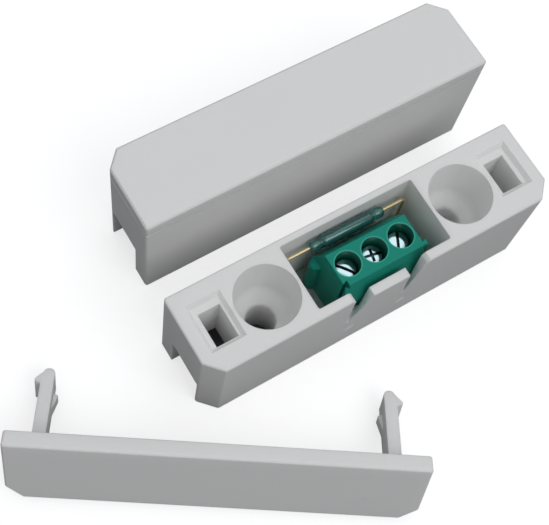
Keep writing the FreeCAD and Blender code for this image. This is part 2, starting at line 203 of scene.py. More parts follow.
def mottle_group() -> bpy.types.NodeTree:
    """Makes the cloudy tone, fine grain and sparse specks of a moulded or cast surface.

    Returns:
        The group.
    """
    speck_core, speck_rarity = 0.04, 0.86
    tree, source, sink = new_group(
        "mottle",
        {"Cloud Scale": (Socket.NUMBER, 60.0), "Grain Scale": (Socket.NUMBER, 4000.0),
         "Speck Scale": (Socket.NUMBER, 170.0), "Speck Size": (Socket.NUMBER, 0.16)},
        {"Cloud": Socket.NUMBER, "Grain": Socket.NUMBER, "Specks": Socket.NUMBER},
    )
    given, place = source.outputs, object_place(tree)
    cloud = add_node(tree, "ShaderNodeTexNoise", Vector=place, Scale=given["Cloud Scale"], Detail=3.0)
    grain = add_node(tree, "ShaderNodeTexNoise", Vector=place, Scale=given["Grain Scale"], Detail=2.0)
    cells = add_node(tree, "ShaderNodeTexVoronoi", Vector=place, Scale=given["Speck Scale"])
    spot = ramp(tree, cells.outputs["Distance"], given["Speck Size"], speck_core)
    chance = add_node(tree, "ShaderNodeSeparateColor", Color=cells.outputs["Color"])
    rare = calc(tree, "GREATER_THAN", chance.outputs["Red"], speck_rarity)
    put_out(tree, sink, {"Cloud": cloud.outputs["Fac"], "Grain": grain.outputs["Fac"],
                         "Specks": calc(tree, "MULTIPLY", spot, rare)})
    return tree


def tone_group() -> bpy.types.NodeTree:
    """Makes a colour and a roughness that drift with a mask, for any finish.

    Returns:
        The group.
    """
    mask_middle = 0.5
    tree, source, sink = new_group(
        "tone",
        {"Colour": (Socket.COLOUR, (0.5, 0.5, 0.5, 1.0)), "Shade": (Socket.COLOUR, (0.4, 0.4, 0.4, 1.0)),
         "Mask": (Socket.NUMBER, 0.5), "Amount": (Socket.NUMBER, 0.3),
         "Roughness": (Socket.NUMBER, 0.5), "Drift": (Socket.NUMBER, 0.05)},
        {"Colour": Socket.COLOUR, "Roughness": Socket.NUMBER},
    )
    given = source.outputs
    share = calc(tree, "MULTIPLY", given["Mask"], given["Amount"])
    centred = calc(tree, "SUBTRACT", given["Mask"], mask_middle)
    rough = calc(tree, "MULTIPLY_ADD", centred, given["Drift"], given["Roughness"])
    put_out(tree, sink, {"Colour": blend(tree, share, given["Colour"], given["Shade"]), "Roughness": rough})
    return tree


def turned_group() -> bpy.types.NodeTree:
    """Makes the rings that a lathe tool leaves on a screw head, and a mask of painted shade in the slot below
    its top.

    Returns:
        The group.
    """
    slot_starts, slot_full, slot_holds, slot_gone = -0.24 * MM, -0.5 * MM, -1.0 * MM, -1.3 * MM
    tree, source, sink = new_group(
        "turned",
        {"Centre": (Socket.VECTOR, (0.0, 0.0, 0.0)), "Ring Scale": (Socket.NUMBER, 2200.0)},
        {"Rings": Socket.NUMBER, "Slot": Socket.NUMBER},
    )
    moved = calc_vector(tree, "SUBTRACT", object_place(tree), source.outputs["Centre"])
    rings = add_node(tree, "ShaderNodeTexWave", {"wave_type": "RINGS", "rings_direction": "Z"},
                     Vector=moved, Scale=source.outputs["Ring Scale"], Distortion=0.6, Detail=1.0)
    height = add_node(tree, "ShaderNodeSeparateXYZ", Vector=moved).outputs["Z"]
    # Painted shade in the slot, darkest between 0.5 and 1 mm below the head's top.
    upper = ramp(tree, height, slot_starts, slot_full)
    lower = ramp(tree, height, slot_gone, slot_holds)
    put_out(tree, sink, {"Rings": rings.outputs["Fac"], "Slot": calc(tree, "MULTIPLY", upper, lower)})
    return tree


def bored_group() -> bpy.types.NodeTree:
    """Makes masks for a row of upright bores: painted shade on their deep walls and a painted highlight on
    their thin lips.

    Returns:
        The group.
    """
    wall_reach, wall_starts, wall_full = 0.06 * MM, -0.1 * MM, -0.5 * MM
    lip_reach, lip_core, lip_starts, lip_full = 0.21 * MM, 0.12 * MM, -0.14 * MM, -0.06 * MM
    tree, source, sink = new_group(
        "bored",
        {"Centre": (Socket.VECTOR, (0.0, 0.0, 0.0)), "Pitch": (Socket.NUMBER, 5.0 * MM),
         "Radius": (Socket.NUMBER, 2.13 * MM)},
        {"Wall Shade": Socket.NUMBER, "Lip Highlight": Socket.NUMBER},
    )
    given = source.outputs
    moved = calc_vector(tree, "SUBTRACT", object_place(tree), given["Centre"])
    apart = add_node(tree, "ShaderNodeSeparateXYZ", Vector=moved).outputs
    half, minus = (calc(tree, "MULTIPLY", given["Pitch"], share) for share in (0.5, -0.5))
    along = calc(tree, "WRAP", apart["X"], half, minus)
    flat = add_node(tree, "ShaderNodeCombineXYZ", X=along, Y=apart["Y"]).outputs["Vector"]
    beyond = calc(tree, "SUBTRACT", calc_vector(tree, "LENGTH", flat), given["Radius"])
    # Painted shade on the bore walls below the top, and a painted highlight on their thin lips.
    inside = calc(tree, "LESS_THAN", beyond, wall_reach)
    deep = ramp(tree, apart["Z"], wall_starts, wall_full)
    near = ramp(tree, beyond, lip_reach, lip_core)
    high = ramp(tree, apart["Z"], lip_starts, lip_full)
    put_out(tree, sink, {"Wall Shade": calc(tree, "MULTIPLY", inside, deep),
                         "Lip Highlight": calc(tree, "MULTIPLY", near, high)})
    return tree


def weave_group() -> bpy.types.NodeTree:
    """Makes the crossed threads of glass cloth under the lacquer of a circuit board.

    Returns:
        The group.
    """
    tree, source, sink = new_group(
        "weave", {"Thread Scale": (Socket.NUMBER, 300.0)}, {"Threads": Socket.NUMBER})
    place = object_place(tree)
    threads = [
        add_node(tree, "ShaderNodeTexWave", {"bands_direction": way}, Vector=place,
                 Scale=source.outputs["Thread Scale"], Distortion=0.3).outputs["Fac"]
        for way in ("X", "Y")
    ]
    put_out(tree, sink, {"Threads": calc(tree, "MULTIPLY", *threads)})
    return tree


# Finishes


@dataclass(frozen=True)
class Finish:
    """One procedural finish: a drifting colour and roughness over a fine relief.

    A mask leads the colour to the shade, as far as the amount says, and moves the roughness by the drift.
    Scales and threads count repeats in about a metre, heights and depths are in millimetres, and places in
    metres. The rings are a screw head's, and the slot shade is painted shade in its slot. The rim is painted
    shade on a surface seen edge on, and the wall and the lip are painted shade on the walls and a painted
    highlight on the lips of a row of bores.
    """

    name: str
    slot: str
    colour: tuple
    shade: tuple
    roughness: float
    drift: float = 0.08
    amount: float = 0.4
    cloud_scale: float = 60.0
    grain_scale: float = 4000.0
    grain_height: float = 0.004
    metallic: float = 0.0
    specks: float = 0.0
    coat: float = 0.0
    transmission: float = 0.0
    subsurface: float = 0.0
    subsurface_depth: float = 1.2
    ior: float = 1.5
    rings_at: tuple | None = None
    # Painted shade in a screw's slot.
    slot_shade: tuple = (0.03, 0.045, 0.045)
    # Painted shade where a surface is seen edge on.
    rim: tuple | None = None
    rim_shade_blend: float = 0.5
    bore_shading_at: tuple | None = None
    # Painted shade on bore walls and a painted highlight on their lips.
    wall: tuple = (0.002, 0.13, 0.085)
    lip: tuple = (0.06, 0.46, 0.35)
    threads: float = 0.0

    def material(self, groups: dict) -> bpy.types.Material:
        """Builds the material.

        Args:
            groups: the shared node groups by name.

        Returns:
            The material, with its shader on the surface output.
        """
        made = bpy.data.materials.new(self.name)
        tree = clear_tree(made)
        mottle = add_group(tree, groups["mottle"], Cloud_Scale=self.cloud_scale, Grain_Scale=self.grain_scale)
        mask, relief = mottle.outputs["Cloud"], mottle.outputs["Grain"]
        layers = []
        if self.specks:
            layers.append((calc(tree, "MULTIPLY", mottle.outputs["Specks"], self.specks), self.shade))
        if self.threads:
            mask = add_group(tree, groups["weave"], Thread_Scale=self.threads).outputs["Threads"]
        if self.rings_at:
            turned = add_group(tree, groups["turned"], Centre=self.rings_at)
            relief = turned.outputs["Rings"]
            # Painted shade darkens the screw's slot.
            layers.append((turned.outputs["Slot"], self.slot_shade))
        # Painted shade on the bore walls and a painted highlight on their lips.
        if self.bore_shading_at:
            bored = add_group(tree, groups["bored"], Centre=self.bore_shading_at)
            layers += [(bored.outputs["Wall Shade"], self.wall), (bored.outputs["Lip Highlight"], self.lip)]
        # Painted shade darkens the surface where it is seen edge on.
        if self.rim:
            facing = add_node(tree, "ShaderNodeLayerWeight", Blend=self.rim_shade_blend)
            layers.append((facing.outputs["Facing"], self.rim))
        tone = add_group(tree, groups["tone"], Colour=opaque(self.colour), Shade=opaque(self.shade),
                         Mask=mask, Amount=self.amount, Roughness=self.roughness, Drift=self.drift)
        colour = tone.outputs["Colour"]
        for share, tint in layers:
            colour = blend(tree, share, colour, opaque(tint))
        bump = add_node(tree, "ShaderNodeBump", Height=relief, Distance=self.grain_height * MM, Strength=1.0)
        shader = add_node(tree, "ShaderNodeBsdfPrincipled", Base_Color=colour,
                          Roughness=tone.outputs["Roughness"],
                          Normal=bump.outputs["Normal"], Metallic=self.metallic, IOR=self.ior,
                          Coat_Weight=self.coat, Transmission_Weight=self.transmission,
                          Subsurface_Weight=self.subsurface, Subsurface_Radius=(1.0, 1.0, 1.0),
                          Subsurface_Scale=self.subsurface_depth * MM)
        add_node(tree, "ShaderNodeOutputMaterial", Surface=shader.outputs[0])
        return made


HOUSING = Finish("moulded_housing", "housing", (0.90, 0.898, 0.895), (0.83, 0.828, 0.825), 0.55,
                 specks=1.0, subsurface=0.6)
GREEN = Finish("green_polyamide", "terminal_plastic", (0.014, 0.30, 0.225), (0.010, 0.25, 0.185), 0.40,
               ior=1.22, grain_height=0.002)
BOARD = Finish("board_laminate", "board", (0.36, 0.44, 0.39), (0.29, 0.36, 0.31), 0.45,
               threads=260.0, coat=0.3)
CAGE = Finish("nickel_plate", "cage_metal", (0.62, 0.61, 0.58), (0.50, 0.49, 0.46), 0.32, metallic=1.0)
CONTACT = Finish("tinned_brass", "contact_metal", (0.68, 0.66, 0.58), (0.52, 0.47, 0.36), 0.38, metallic=1.0)
SCREW = Finish("zinc_plate", "screw_metal", (0.60, 0.80, 0.86), (0.48, 0.67, 0.72), 0.10,
               metallic=1.0, grain_height=0.0004)
LEAD = Finish("lead_flash", "lead_metal", (0.86, 0.72, 0.42), (0.72, 0.56, 0.30), 0.45,
              metallic=1.0, grain_height=0.001)
SOLDER = Finish("solder", "solder", (0.58, 0.59, 0.61), (0.45, 0.46, 0.47), 0.42,
                metallic=1.0, grain_height=0.006)
# The glass's rim is painted shade along the tube's edges.
GLASS = Finish("reed_tube_glass", "reed_glass", (0.08, 0.40, 0.39), (0.065, 0.34, 0.33), 0.04, drift=0.02,
               rim=(0.0, 0.025, 0.027), transmission=0.75, ior=1.45, coat=0.9, grain_height=0.0003)
MAGNET = Finish("ferrite", "magnet", (0.035, 0.035, 0.037), (0.022, 0.022, 0.024), 0.6, grain_height=0.01)


@dataclass
class FinishLibrary:
    """Makes each finish's material once and puts it on pieces."""

    groups: dict = field(default_factory=dict)
    made: dict = field(default_factory=dict)

    def build(self) -> None:
        """Makes the shared node groups."""
        self.groups = {"mottle": mottle_group(), "tone": tone_group(), "turned": turned_group(),
                       "weave": weave_group(), "bored": bored_group()}

    def put(self, piece: bpy.types.Object, finish: Finish) -> None:
        """Gives a piece one finish as its only material.

        Args:
            piece: a new piece or a carried-over node.
            finish: the finish to use.
        """
        if finish.name not in self.made:
            self.made[finish.name] = finish.material(self.groups)
        piece.data.materials.clear()
        piece.data.materials.append(self.made[finish.name])


# Modelling helpers


def middle(node: str) -> Vector:
    """Gives the middle of a node's box."""
    low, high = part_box(node)
    return (low + high) / 2


def select_only(piece: bpy.types.Object) -> None:
    """Makes one piece the only selected and active object.

    Args:
        piece: the piece to select.
    """
    bpy.ops.object.select_all(action="DESELECT")
    piece.select_set(True)
    bpy.context.view_layer.objects.active = piece


def place_in_mesh(piece: bpy.types.Object) -> None:
    """Moves a piece's place, turn and scale into its mesh."""
    select_only(piece)
    bpy.ops.object.transform_apply(location=True, rotation=True, scale=True)


def add_cylinder(sides: int, radius: float, length: float, centre: tuple) -> bpy.types.Object:
    """Adds a closed upright cylinder, measured in metres.

    Args:
        sides: the number of sides.
        radius: the radius.
        length: the length along Z.
        centre: the middle.

    Returns:
        The cylinder, with its place in its mesh.
    """
    bpy.ops.object.select_all(action="DESELECT")
    bpy.ops.mesh.primitive_cylinder_add(vertices=sides, radius=radius, depth=length, location=centre)
    cylinder = bpy.context.object
    place_in_mesh(cylinder)
    return cylinder


def edit_mesh(piece: bpy.types.Object, *steps: tuple) -> None:
    """Runs mesh operators on all of a piece.

    Args:
        piece: the piece to edit.
        *steps: pairs of an operator of bpy.ops.mesh and its settings.
    """
    select_only(piece)
    bpy.ops.object.mode_set(mode="EDIT")
    bpy.ops.mesh.select_all(action="SELECT")
    for operator, settings in steps:
        operator(**settings)
    bpy.ops.object.mode_set(mode="OBJECT")


def apply_modifier(piece: bpy.types.Object, kind: str, **settings) -> None:
    """Adds a modifier and applies it.

    Args:
        piece: the piece to change.
        kind: the modifier's type name.
        **settings: attribute name to value.
    """
    select_only(piece)
    modifier = piece.modifiers.new(kind.lower(), kind)
    for key, value in settings.items():
        setattr(modifier, key, value)
    bpy.ops.object.modifier_apply(modifier=modifier.name)


def combine(piece: bpy.types.Object, other: bpy.types.Object, how: Join) -> None:
    """Applies a boolean with another object, which is then removed."""
    apply_modifier(piece, "BOOLEAN", operation=how.value, solver="EXACT", object=other)
    bpy.data.objects.remove(other)


def round_edges(piece: bpy.types.Object, width: float, segments: int = 2, limit: float = 30.0) -> None:
    """Rounds a piece's sharp edges.

    Args:
        piece: the piece to finish.
        width: the rounding's width in millimetres.
        segments: faces across the rounding.
        limit: smallest angle in degrees that counts as an edge.
    """
    apply_modifier(piece, "BEVEL", width=width * MM, segments=segments, limit_method="ANGLE",
                   angle_limit=math.radians(limit), miter_outer="MITER_ARC", use_clamp_overlap=True)
    edit_mesh(piece, (bpy.ops.mesh.dissolve_degenerate, {"threshold": MERGE_DISTANCE}))


def draw_up(piece: bpy.types.Object, steps: list) -> None:
    """Insets a piece's upward face again and again, and lifts it each time.

    Args:
        piece: the piece to edit.
        steps: pairs of an inset width and a rise, in millimetres.
    """
    select_only(piece)
    for part in (*piece.data.edges, *piece.data.vertices):
        part.select = False
    for polygon in piece.data.polygons:
        polygon.select = polygon.normal.z > FACING_UP
    bpy.ops.object.mode_set(mode="EDIT")
    bpy.ops.mesh.select_mode(type="FACE")
    for width, rise in steps:
        bpy.ops.mesh.inset(thickness=width * MM, depth=0.0)
        bpy.ops.transform.translate(value=(0, 0, rise * MM))
    bpy.ops.object.mode_set(mode="OBJECT")


@dataclass(frozen=True)
class SoftZone:
    """A box in millimetres whose sharp edges get a wider rounding, or only those on one ring in it.

    The limit is the smallest angle in degrees that counts as an edge. The ring is its middle in X and Y
    and its radius, and the slack is how far from it an edge may lie.
    """

    low: tuple
    high: tuple
    width: float
    segments: int = 4
    limit: float = 20.0
    ring: tuple | None = None
    slack: float = 0.05

    def holds(self, place: Vector) -> bool:
        """Tells whether a place lies in the zone.

        Args:
            place: the place in millimetres.

        Returns:
            True if it does.
        """
        inside = all(low <= value <= high for low, value, high in zip(self.low, place, self.high))
        if inside and self.ring:
            x, y, radius = self.ring
            return abs(math.hypot(place.x - x, place.y - y) - radius) < self.slack
        return inside


def soften(piece: bpy.types.Object, zone: SoftZone) -> None:
    """Rounds the sharp edges that lie inside a zone.

    Args:
        piece: the piece to finish.
        zone: the zone, with the rounding's width.
    """
    select_only(piece)
    bpy.ops.object.mode_set(mode="EDIT")
    bpy.ops.mesh.select_mode(type="EDGE")
    bpy.ops.mesh.select_all(action="DESELECT")
    edit = bmesh.from_edit_mesh(piece.data)
    for edge in edit.edges:
        if len(edge.link_faces) == 2 and edge.calc_face_angle() > math.radians(zone.limit):
            edge.select_set(all(zone.holds(v.co / MM) for v in edge.verts))
    bmesh.update_edit_mesh(piece.data)
    bpy.ops.mesh.bevel(offset=zone.width * MM, segments=zone.segments, affect="EDGES", clamp_overlap=True)
    bpy.ops.object.mode_set(mode="OBJECT")


def smooth(piece: bpy.types.Object, angle: float = 40.0) -> None:
    """Shades a piece smooth, with flat faces kept flat.

    Args:
        piece: the piece to shade.
        angle: largest angle in degrees that is smoothed over.
    """
    select_only(piece)
    bpy.ops.object.shade_smooth_by_angle(angle=math.radians(angle))
    apply_modifier(piece, "WEIGHTED_NORMAL", keep_sharp=True)


def copy_node(node: str, name: str) -> bpy.types.Object:
    """Copies a node's mesh into a new piece with its vertices merged.

    Args:
        node: the node to copy.
        name: the new piece's name.

    Returns:
        The new piece, at the origin.
    """
    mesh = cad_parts[node].data.copy()
    piece = bpy.data.objects.new(name, mesh)
    bpy.context.scene.collection.objects.link(piece)
    edit_mesh(
        piece,
        (bpy.ops.mesh.customdata_custom_splitnormals_clear, {}),
        (bpy.ops.mesh.remove_doubles, {"threshold": MERGE_DISTANCE}),
        (bpy.ops.mesh.dissolve_limited, {"angle_limit": FLAT_ANGLE}),
    )
    return piece


def stand_in(piece: bpy.types.Object, finish: Finish, body: str, *nodes: str) -> None:
    """Declares what a new piece is part of, and reports it.

    Args:
        piece: the finished piece.
        finish: not used.
        body: the body that it rides on.
        *nodes: the nodes that it stands for.
    """
    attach(piece, body)
    if nodes:
        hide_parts(*nodes)
    log.info("%s: %d faces", piece.name, len(piece.data.polygons))


# Sub-assemblies, with lengths in millimetres and angles in degrees


@dataclass
class Moulding:
    """A moulded or formed piece with softened edges, or sharp ones where its rounding is 0."""

    node: str
    name: str
    finish: Finish
    rounding: float = 0.12
    body: str = BODY
    piece: bpy.types.Object | None = None

    def build(self) -> None:
        """Copies the node's shape and rounds its edges."""
        self.piece = copy_node(self.node, self.name)
        self.shape()
        if self.rounding:
            round_edges(self.piece, self.rounding)
        smooth(self.piece)
        stand_in(self.piece, self.finish, self.body, self.node)

    def shape(self) -> None:
        """Changes the copied shape, where the piece differs from its node."""

    def dress(self, library: FinishLibrary) -> None:
        """Gives the piece its finish."""
        library.put(self.piece, self.finish)


@dataclass
class SwitchHousing(Moulding):
    """The open housing, softer in its screw wells, on its window's tab and round its hook slots.

    A well's rings are its cone's upper edge and its hole's lip, each with its radius, height, rounding and
    faces. The reaches are half the sides of the boxes that are searched, and the band half their height.
    """

    well_x: float = 18.1
    well_reach: float = 6.0
    well_rings: tuple = ((4.7, 11.6, 1.5, 8), (2.5, 9.6, 0.45, 5))
    tab_low: tuple = (-3.4, -7.5, 10.0)
    tab_high: tuple = (5.4, -5.3, 17.6)
    tab_rounding: float = 0.3
    hook_x: float = 26.7
    hook_reach: float = 5.0
    hook_rounding: float = 0.4
    rim_height: float = 20.2
    band: float = 0.1

    def box_at(self, x: float, height: float, reach: float) -> tuple:
        """Gives the corners of a low box round a place on the housing's long axis."""
        return (x - reach, -reach, height - self.band), (x + reach, reach, height + self.band)

    def zones(self) -> list:
        """Lists the places with a wider rounding.

        Returns:
            The zones, in the order of their rounding.
        """
        found = []
        for x in (-self.well_x, self.well_x):
            for radius, height, width, faces in self.well_rings:
                corners = self.box_at(x, height, self.well_reach)
                found.append(SoftZone(*corners, width, faces, ring=(x, 0.0, radius)))
        found.append(SoftZone(self.tab_low, self.tab_high, self.tab_rounding))
        for x in (-self.hook_x, self.hook_x):
            found.append(SoftZone(*self.box_at(x, self.rim_height, self.hook_reach), self.hook_rounding))
        return found

    def shape(self) -> None:
        """Rounds the places that are softer than the rest."""
        for zone in self.zones():
            soften(self.piece, zone)


@dataclass
class MagnetHousing(Moulding):
    """The magnet unit's housing, whose long bevels under the closed lid are pressed shut.

    The rim's outer edge lies in from the long walls by the inset, and moves out by the outset. Its points
    are those within the rim's width of the walls and within the slack of its height.
    """

    rim_height: float = 20.2
    rim_width: float = 0.6
    rim_inset: float = 0.2
    outset: float = 0.17
    slack: float = 0.01

    def shape(self) -> None:
        """Moves the top rim's outer edge out to the wall."""
        low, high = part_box(self.node)
        centre, half = (low + high) / 2, (high - low) / 2
        width = self.rim_width * MM
        select_only(self.piece)
        for part in (*self.piece.data.polygons, *self.piece.data.edges):
            part.select = False
        for vertex in self.piece.data.vertices:
            apart = vertex.co - centre
            outer = abs(apart.x) > half.x - width or abs(apart.y) > half.y - width
            vertex.select = outer and abs(vertex.co.z / MM - self.rim_height) < self.slack
        bpy.ops.object.mode_set(mode="EDIT")
        bpy.ops.mesh.select_mode(type="VERT")
        grow = 1 + self.outset * MM / (half.y - self.rim_inset * MM)
        bpy.ops.transform.resize(value=(1.0, grow, 1.0), center_override=centre)
        bpy.ops.object.mode_set(mode="OBJECT")


@dataclass
class TerminalBlock(Moulding):
    """The green block, with painted shade on the walls and painted highlights on the lips of its screwdriver
    bores.
    """

    middle_screw: str = "terminal_screw_2"

    def bored(self) -> Finish:
        """Places the bores' painted shade and painted highlights over the clamp screws.

        Returns:
            The block's finish with the middle bore's place.
        """
        centre, top = middle(self.middle_screw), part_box(self.node)[1].z
        return replace(self.finish, bore_shading_at=(centre.x, centre.y, top))

    def dress(self, library: FinishLibrary) -> None:
        """Gives the block its green."""
        library.put(self.piece, self.bored())


@dataclass
class ClampScrew:
    """One slotted clamp screw with its thread.

    The long slot's length is in head radii, so that it runs out past the rim. The root is how far the
    shank reaches into the head, and the limits are the smallest angles that count as an edge.
    """

    index: int
    slot_angle: float
    crossed: bool
    head_height: float = 1.5
    head_sides: int = 64
    edge: float = 0.22
    edge_faces: int = 4
    edge_limit: float = 60.0
    crown: float = 0.12
    crown_rings: int = 6
    slot_length: float = 2.4
    slot_width: float = 0.5
    slot_depth: float = 0.8
    cross_length: float = 2.3
    lip: float = 0.05
    lip_limit: float = 45.0
    shank_radius: float = 1.2
    shank_sides: int = 32
    root: float = 0.2
    thread_pitch: float = 0.45
    thread_depth: float = 0.14
    turn_steps: int = 8
    shading: float = 35.0
    piece: bpy.types.Object | None = None

    @property
    def node(self) -> str:
        """The screw's node."""
        return f"terminal_screw_{self.index}"

    def build(self) -> None:
        """Turns the head, cuts its slot and joins the threaded shank."""
        low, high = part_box(self.node)
        centre = middle(self.node)
        self.piece = self.head(centre, high.z, (high.x - low.x) / 2)
        combine(self.piece, self.shank(centre, low.z, high.z - self.head_height * MM), Join.ADD)
        self.piece.name = f"clamp_screw_{self.index}"
        smooth(self.piece, self.shading)
        stand_in(self.piece, SCREW, f"screw_{self.index}", self.node)

    def head(self, centre: Vector, top: float, radius: float) -> bpy.types.Object:
        """Models the head: a turned disc with a rounded rim, a low crown and a cut slot.

        Args:
            centre: the screw's middle in metres.
            top: the height of the head's top in metres.
            radius: the head's radius in metres.

        Returns:
            The head.
        """
        height = self.head_height - self.crown
        place = (centre.x, centre.y, top - (self.crown + height / 2) * MM)
        head = add_cylinder(self.head_sides, radius, height * MM, place)
        apply_modifier(head, "BEVEL", width=self.edge * MM, segments=self.edge_faces, limit_method="ANGLE",
                       angle_limit=math.radians(self.edge_limit))
        draw_up(head, self.crown_steps(radius / MM - self.edge))
        slots = [(self.slot_length * radius, self.slot_angle)]
        if self.crossed:
            slots.append((self.cross_length * MM, self.slot_angle + 90.0))
        for length, turn in slots:
            combine(head, self.blade((centre.x, centre.y, top), length, turn), Join.CUT)
        round_edges(head, self.lip, limit=self.lip_limit)
        return head

    def crown_steps(self, flat: float) -> list:
        """Works out the crown, which falls away from its peak with the square of the radius.

        Args:
            flat: the radius of the head's flat top in millimetres.

        Returns:
            Pairs of an inset and a rise in millimetres.
        """
        step = 1 / (self.crown_rings + 1)
        rings = range(self.crown_rings)
        return [(flat * step, self.crown * (2 * (1 - i * step) - step) * step) for i in rings]

    def blade(self, place: tuple, length: float, turn: float) -> bpy.types.Object:
        """Models the cutter of a slot.

        Args:
            place: the middle of the head's top in metres.
            length: the slot's length in metres.
            turn: its angle from the housing's length.

        Returns:
            The cutter.
        """
        bpy.ops.object.select_all(action="DESELECT")
        bpy.ops.mesh.primitive_cube_add(size=1.0, location=place)
        blade = bpy.context.object
        blade.scale = (length, self.slot_width * MM, 2 * self.slot_depth * MM)
        blade.rotation_euler.z = math.radians(turn)
        place_in_mesh(blade)
        return blade

    def shank(self, centre: Vector, low: float, high: float) -> bpy.types.Object:
        """Models the threaded shank: a cylinder whose rings follow the thread's helix.

        Args:
            centre: the screw's middle in metres.
            low: the height of the shank's tip in metres.
            high: the height of the head's underside in metres.

        Returns:
            The shank, which reaches a little way into the head.
        """
        length = high + self.root * MM - low
        rings = round(length / MM / self.thread_pitch * self.turn_steps)
        place = (centre.x, centre.y, low + length / 2)
        shank = add_cylinder(self.shank_sides, self.shank_radius * MM, length, place)
        shank.data.update()
        edit = bmesh.new()
        edit.from_mesh(shank.data)
        upright = [e for e in edit.edges if abs(e.verts[0].co.z - e.verts[1].co.z) > length / 2]
        bmesh.ops.subdivide_edges(edit, edges=upright, cuts=rings - 1, use_grid_fill=True)
        for vertex in edit.verts:
            offset = vertex.co - Vector((centre.x, centre.y, vertex.co.z))
            angle = math.atan2(offset.y, offset.x)
            turn = ((vertex.co.z - low) / (self.thread_pitch * MM) - angle / math.tau) % 1.0
            cut = self.thread_depth * MM * (1.0 - abs(2.0 * turn - 1.0))
            vertex.co -= offset.normalized() * cut
        edit.to_mesh(shank.data)
        edit.free()
        return shank

    def plating(self) -> Finish:
        """Places the turning rings and the slot's painted shade round this screw's axis.

        Returns:
            The screws' finish with the middle of this head's top.
        """
        centre, top = middle(self.node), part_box(self.node)[1].z
        return replace(SCREW, name=f"{SCREW.name}_{self.index}", rings_at=(centre.x, centre.y, top))

    def dress(self, library: FinishLibrary) -> None:
        """Gives the screw its plating."""
        library.put(self.piece, self.plating())


@dataclass
class ReedTube:
    """The sealed glass tube, drawn in at two necks, blown round at both ends and hollow in the middle.

    The shoulder, neck and bead are the outer points round the right neck. Each gives its distance past
    the neck's middle, and how far it lies in from the body, out from the neck or in from the sealed end.
    The mouth is the flat ring round a lead, and the gap is from the neck's middle to the cavity's tip.
    """

    node: str = "reed_glass"
    name: str = "reed_tube"
    length: float = 14.0
    radius: float = 1.1
    seal_radius: float = 0.96
    seal_length: float = 2.1
    neck_depth: float = 0.2
    shoulder: tuple = ((-0.75, 0.0), (-0.5, 0.04), (-0.28, 0.14))
    neck: tuple = ((-0.1, 0.03), (0.0, 0.0), (0.1, 0.02))
    bead: tuple = ((0.28, 0.05), (0.45, 0.0))
    wall: float = 0.3
    bore: float = 0.25
    mouth: float = 0.05
    mouth_depth: float = 0.02
    end_steps: int = 6
    cavity_gap: float = 0.35
    dome_length: float = 0.5
    dome_steps: int = 5
    turn_steps: int = 48
    merge: float = 0.001
    shading: float = 50.0
    piece: bpy.types.Object | None = None

    def outline(self) -> list:
        """Lists the right half of the section, from the middle round the end and back inside.

        Returns:
            Points as the distance from the middle and the radius.
        """
        end, seal = self.length / 2, self.length / 2 - self.seal_length
        waist = self.seal_radius - self.neck_depth
        points = [(0.0, self.radius)]
        points += [(seal + x, self.radius - inwards) for x, inwards in self.shoulder]
        points += [(seal + x, waist + outwards) for x, outwards in self.neck]
        points += [(seal + x, self.seal_radius - inwards) for x, inwards in self.bead]
        turn = self.seal_radius - self.bore - self.mouth
        for i in range(self.end_steps + 1):
            angle = math.pi / 2 * (1 - i / self.end_steps)
            points.append((end - turn + turn * math.cos(angle),
                           self.bore + self.mouth + turn * math.sin(angle)))
        tip, inner = seal - self.cavity_gap, self.radius - self.wall
        points += [(end - self.mouth_depth, self.bore), (tip, self.bore)]
        for i in range(1, self.dome_steps + 1):
            angle = math.pi / 2 * i / self.dome_steps
            points.append((tip - self.dome_length + self.dome_length * math.cos(angle),
                           self.bore + (inner - self.bore) * math.sin(angle)))
        points.append((0.0, inner))
        return points

    def build(self) -> None:
        """Spins the section round the tube's axis."""
        centre = middle(self.node)
        right = self.outline()
        section = right + [(-x, radius) for x, radius in reversed(right[1:-1])]
        places = [(centre.x + x * MM, centre.y + radius * MM, centre.z) for x, radius in section]
        count = len(places)
        mesh = bpy.data.meshes.new(self.name)
        mesh.from_pydata(places, [(i, (i + 1) % count) for i in range(count)], [])
        self.piece = bpy.data.objects.new(self.name, mesh)
        bpy.context.scene.collection.objects.link(self.piece)
        spin = {"steps": self.turn_steps, "angle": math.tau, "center": tuple(centre), "axis": (1.0, 0.0, 0.0)}
        edit_mesh(
            self.piece,
            (bpy.ops.mesh.spin, spin),
            (bpy.ops.mesh.select_all, {"action": "SELECT"}),
            (bpy.ops.mesh.remove_doubles, {"threshold": self.merge * MM}),
            (bpy.ops.mesh.normals_make_consistent, {"inside": False}),
        )
        smooth(self.piece, self.shading)
        stand_in(self.piece, GLASS, BODY, self.node)

    def dress(self, library: FinishLibrary) -> None:
        """Gives the tube its green glass."""
        library.put(self.piece, GLASS)


